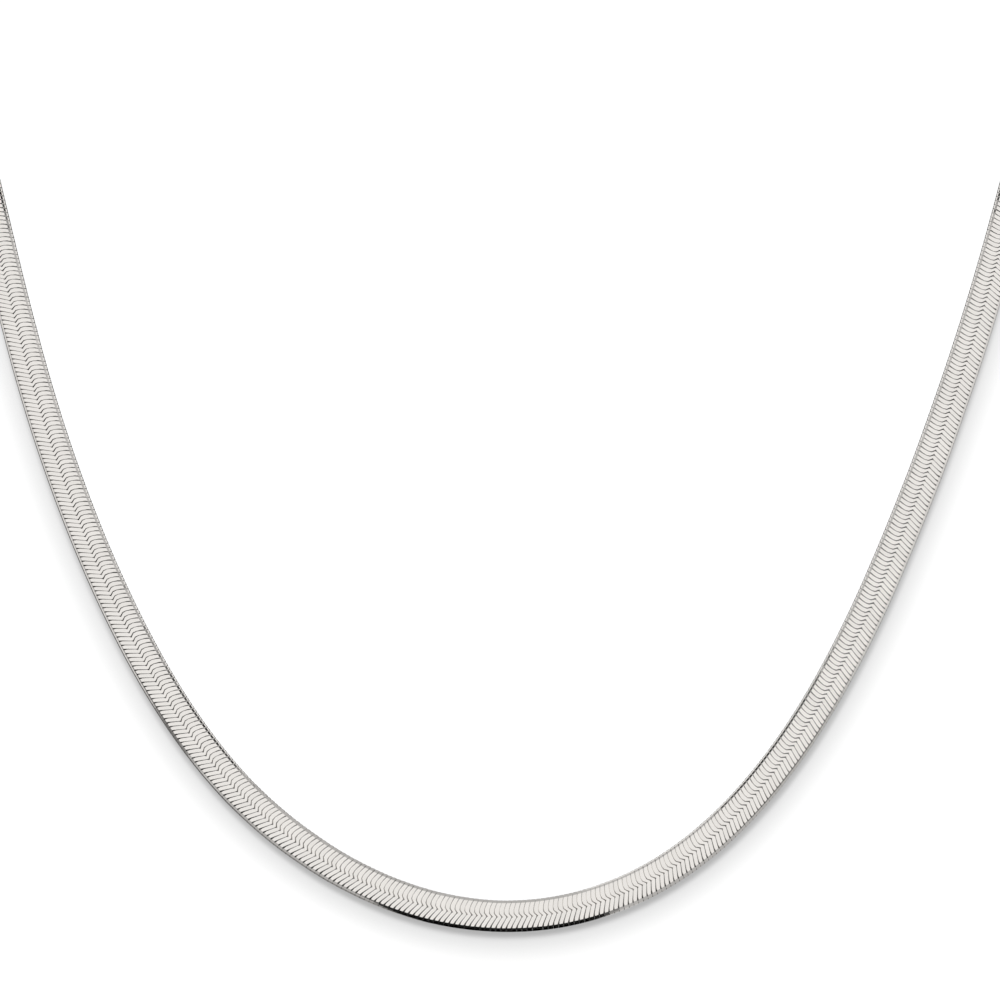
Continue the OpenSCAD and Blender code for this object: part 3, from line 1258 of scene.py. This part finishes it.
def add_floor_lamp(energy, turned, flag, floor):
    """A lamp along the camera's view that lights the floor alone, and that the flag shades."""
    data = bpy.data.lights.new("floor_lamp", "SUN")
    data.energy = energy
    data.angle = math.radians(0.8)
    lamp = new_object("floor_lamp", data)
    lamp.matrix_world = turned
    lamp.visible_glossy = False
    blockers = bpy.data.collections.new("lamp_blockers")
    blockers.objects.link(flag)
    receivers = bpy.data.collections.new("lamp_receivers")
    receivers.objects.link(floor)
    lamp.light_linking.blocker_collection = blockers
    lamp.light_linking.receiver_collection = receivers


class NECKLACE_OT_stage(bpy.types.Operator):
    """Set the camera, the pale floor and the soft light"""

    bl_idname = "necklace.stage"
    bl_label = "Stage"

    def execute(self, context):
        scene = context.scene
        settings, chain = scene.necklace_stage, scene.necklace_chain
        aim = Vector(settings.camera_aim)
        axes = view_axes(settings)
        across, over, ahead = axes
        turned = Matrix((across, over, -ahead)).transposed().to_4x4()
        eye = aim - ahead * settings.camera_distance
        add_camera(scene, settings.lens, eye, turned)

        floor_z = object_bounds()[0].z - settings.floor_drop
        floor = add_floor(floor_z)
        add_sky(scene, settings.sky)
        reflected_room(aim, settings.sky)
        half_length, edge = chain.loop_length / 2, chain.width / 2
        flag = shade_flag(worn_route(scene), half_length, edge, eye, axes, floor_z)
        add_floor_lamp(settings.floor_light, turned, flag, floor)
        scene.view_settings.view_transform = "Standard"
        return {"FINISHED"}


class NECKLACE_PT_panel(bpy.types.Panel):
    """Lists the steps that build the necklace"""

    bl_idname = "NECKLACE_PT_panel"
    bl_label = "Herringbone Necklace"
    bl_space_type = "VIEW_3D"
    bl_region_type = "UI"
    bl_category = "Necklace"

    def draw(self, context):
        for step in STEPS:
            self.layout.operator(step.bl_idname)


STEPS = (NECKLACE_OT_chain, NECKLACE_OT_end_caps, NECKLACE_OT_clasp, NECKLACE_OT_stage)
GROUPS = {
    "necklace_chain": ChainSettings,
    "necklace_findings": FindingsSettings,
    "necklace_silver": SilverSettings,
    "necklace_stage": StageSettings,
}


def register():
    for group in GROUPS.values():
        bpy.utils.register_class(group)
    for name, group in GROUPS.items():
        setattr(bpy.types.Scene, name, PointerProperty(type=group))
    for cls in (*STEPS, NECKLACE_PT_panel):
        bpy.utils.register_class(cls)


def unregister():
    for cls in (NECKLACE_PT_panel, *reversed(STEPS)):
        bpy.utils.unregister_class(cls)
    for name in GROUPS:
        delattr(bpy.types.Scene, name)
    for group in reversed(GROUPS.values()):
        bpy.utils.unregister_class(group)


def main():
    register()
    bpy.ops.necklace.chain()
    bpy.ops.necklace.end_caps()
    bpy.ops.necklace.clasp()
    bpy.ops.necklace.stage()


if __name__ == "__main__":
    main()
